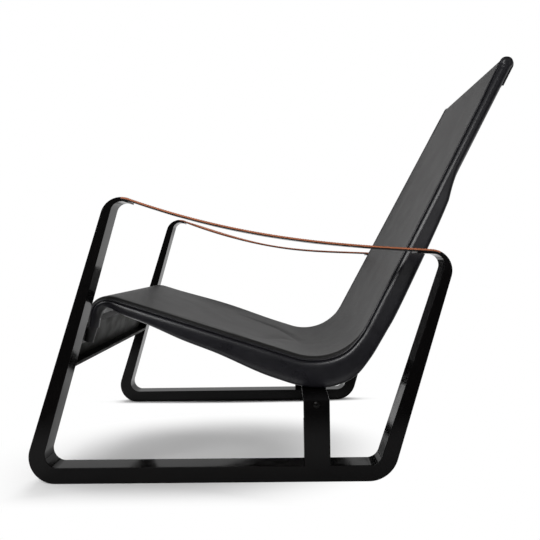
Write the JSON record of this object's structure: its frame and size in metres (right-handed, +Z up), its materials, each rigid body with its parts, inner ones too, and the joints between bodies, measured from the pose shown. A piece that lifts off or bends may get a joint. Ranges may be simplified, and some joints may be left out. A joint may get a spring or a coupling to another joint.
{
  "type": "leather sling lounge chair",
  "caption": "Low lounge chair with a charcoal leather sling seat and back on a bent tube frame, gloss black steel runners and slung tan leather arm straps",
  "frame": {"origin": "on the floor under the middle of the bounding box", "axes": "+X to the rear, the longest extent; +Y to the sitter's right, the shortest extent; +Z up"},
  "size_m": [0.9828, 0.6928, 0.8409],
  "materials": {
    "gloss_black_steel": "gloss lacquered sheet steel",
    "inner_steel": "satin black tube and plate, mostly under leather",
    "dark_zinc": "blackened fasteners",
    "charcoal_leather": "smooth charcoal hide with a soft sheen",
    "black_leather": "smooth blue-black hide",
    "tan_leather": "thick vegetable-tanned strap leather, dark on its lower face"
  },
  "bodies": {
    "root": {"bend_cross_bar": "inner_steel", "front_apron": "gloss_black_steel", "front_plate": "inner_steel", "left_arm_strap": "tan_leather", "left_cheek_plate": "inner_steel", "left_front_bolt_lower": "dark_zinc", "left_front_bolt_upper": "dark_zinc", "left_front_bracket": "inner_steel", "left_pad_bolt_front": "dark_zinc", "left_pad_bolt_rear": "dark_zinc", "left_piping": "black_leather", "left_rear_arm": "gloss_black_steel", "left_rear_upright": "gloss_black_steel", "left_runner": "gloss_black_steel", "left_side_cover": "black_leather", "left_side_tube": "inner_steel", "left_strap_front_screw_inner": "dark_zinc", "left_strap_front_screw_outer": "dark_zinc", "left_strap_rear_screw_inner": "dark_zinc", "left_strap_rear_screw_outer": "dark_zinc", "left_top_cap": "black_leather", "left_upright_bolt": "dark_zinc", "right_arm_strap": "tan_leather", "right_cheek_plate": "inner_steel", "right_front_bolt_lower": "dark_zinc", "right_front_bolt_upper": "dark_zinc", "right_front_bracket": "inner_steel", "right_pad_bolt_front": "dark_zinc", "right_pad_bolt_rear": "dark_zinc", "right_piping": "black_leather", "right_rear_arm": "gloss_black_steel", "right_rear_upright": "gloss_black_steel", "right_runner": "gloss_black_steel", "right_side_cover": "black_leather", "right_side_tube": "inner_steel", "right_strap_front_screw_inner": "dark_zinc", "right_strap_front_screw_outer": "dark_zinc", "right_strap_rear_screw_inner": "dark_zinc", "right_strap_rear_screw_outer": "dark_zinc", "right_top_cap": "black_leather", "right_upright_bolt": "dark_zinc", "seat_panel": "charcoal_leather", "top_cross_tube": "inner_steel"}
  },
  "joints": []
}
